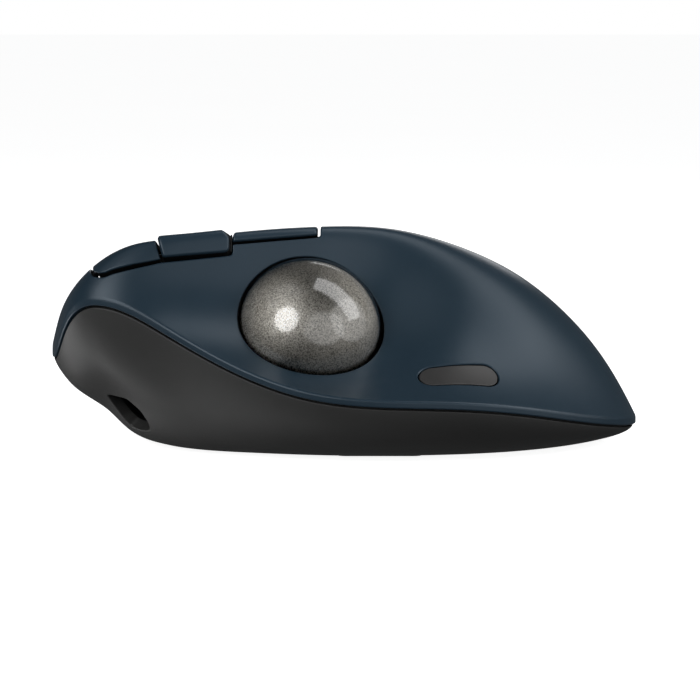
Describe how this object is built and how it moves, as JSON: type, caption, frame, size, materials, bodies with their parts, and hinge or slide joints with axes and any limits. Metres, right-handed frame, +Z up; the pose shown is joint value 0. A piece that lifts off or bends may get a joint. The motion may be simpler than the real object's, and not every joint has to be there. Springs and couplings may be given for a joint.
{
  "type": "trackball mouse",
  "caption": "Right-handed thumb trackball mouse: sculpted shell on a charcoal base, thumb ball in an open socket, click and thumb keys, tilting scroll wheel and charging socket.",
  "frame": {"origin": "on the table surface, under the middle of the mouse's bounding box", "axes": "+X from the finger end towards the palm end, -Y towards the thumb side, +Z up"},
  "size_m": [0.137, 0.0949, 0.0515],
  "materials": {
    "shell": "soft-touch slate blue paint",
    "base": "fine-grained charcoal moulding",
    "badge": "satin",
    "ball": "polished clear resin over a speckled silver core",
    "inner": "black moulding",
    "board": "solder mask",
    "rubber": "matte",
    "steel": "satin",
    "ceramic": "polished",
    "lens": "clear red",
    "cell": "wrapped foil pouch",
    "lamp": "frosted"
  },
  "bodies": {
    "housing": {"upper_shell": "shell", "base_shell": "base", "side_badge": "badge", "status_window": "lamp", "ball_cup": "inner", "bearing_ball_1": "ceramic", "bearing_ball_2": "ceramic", "bearing_ball_3": "ceramic", "sensor_lens": "lens", "optical_sensor": "inner", "sensor_board": "board", "inner_frame": "inner", "front_board": "board", "left_switch": "inner", "right_switch": "inner", "thumb_board": "board", "forward_switch": "inner", "back_switch": "inner", "dpi_board": "board", "dpi_switch": "inner", "main_board": "board", "battery": "cell", "usb_port": "steel", "charge_board": "board", "foot_front": "rubber", "foot_tail": "rubber", "foot_thumb": "rubber", "foot_outer": "rubber", "shell_screw_1": "steel", "shell_screw_2": "steel", "shell_screw_3": "steel", "frame_screw": "steel"},
    "ball": {"trackball": "ball"},
    "left_click": {"left_button": "shell"},
    "right_click": {"right_button": "shell"},
    "forward_key": {"forward_button": "shell"},
    "back_key": {"back_button": "shell"},
    "dpi_key": {"dpi_button": "base"},
    "wheel_carrier": {"wheel_cradle": "inner"},
    "wheel_fork": {"wheel_yoke": "inner", "wheel_encoder": "inner"},
    "wheel": {"wheel_tyre": "rubber", "wheel_hub": "inner", "wheel_axle": "steel"},
    "power_switch": {"power_slider": "base"},
    "pairing_key": {"pairing_button": "base"}
  },
  "joints": [
    {"name": "ball_spin", "type": "hinge", "parent": "housing", "child": "ball", "pos_m": [-0.0085, -0.021, 0.0279], "axis": [1, 0, 0], "continuous": true},
    {"name": "left_press", "type": "hinge", "parent": "housing", "child": "left_click", "pos_m": [-0.0065, -0.008, 0.049], "axis": [0, -1, 0], "range_deg": [0, 0.7], "stiffness_Nm_per_rad": 1, "springref_deg": -0.69},
    {"name": "right_press", "type": "hinge", "parent": "housing", "child": "right_click", "pos_m": [-0.0065, 0.018, 0.044], "axis": [0, -1, 0], "range_deg": [0, 0.7], "stiffness_Nm_per_rad": 1, "springref_deg": -0.69},
    {"name": "forward_press", "type": "slide", "parent": "housing", "child": "forward_key", "axis": [0, 0.4, -0.9165], "range_m": [0, 0.0005], "stiffness_N_per_m": 1200, "springref_m": -0.0004},
    {"name": "back_press", "type": "slide", "parent": "housing", "child": "back_key", "axis": [0, 0.4, -0.9165], "range_m": [0, 0.0005], "stiffness_N_per_m": 1200, "springref_m": -0.0004},
    {"name": "dpi_press", "type": "slide", "parent": "housing", "child": "dpi_key", "axis": [0, 0, -1], "range_m": [0, 0.0004], "stiffness_N_per_m": 1500, "springref_m": -0.0004},
    {"name": "wheel_press", "type": "slide", "parent": "housing", "child": "wheel_carrier", "axis": [0, -0.1736, -0.9848], "range_m": [0, 0.0005], "stiffness_N_per_m": 1500, "springref_m": -0.0005},
    {"name": "wheel_rock", "type": "hinge", "parent": "wheel_carrier", "child": "wheel_fork", "pos_m": [-0.032, -0.00097, 0.02288], "axis": [1, 0, 0], "range_deg": [-3, 3], "stiffness_Nm_per_rad": 0.5},
    {"name": "wheel_spin", "type": "hinge", "parent": "wheel_fork", "child": "wheel", "pos_m": [-0.032, 0.00121, 0.03529], "axis": [0, 0.9848, -0.1736], "continuous": true},
    {"name": "power_slide", "type": "slide", "parent": "housing", "child": "power_switch", "axis": [1, 0, 0], "range_m": [0, 0.0048]},
    {"name": "pairing_press", "type": "slide", "parent": "housing", "child": "pairing_key", "axis": [0, 0, 1], "range_m": [0, 0.0005], "stiffness_N_per_m": 1200, "springref_m": -0.0004}
  ]
}
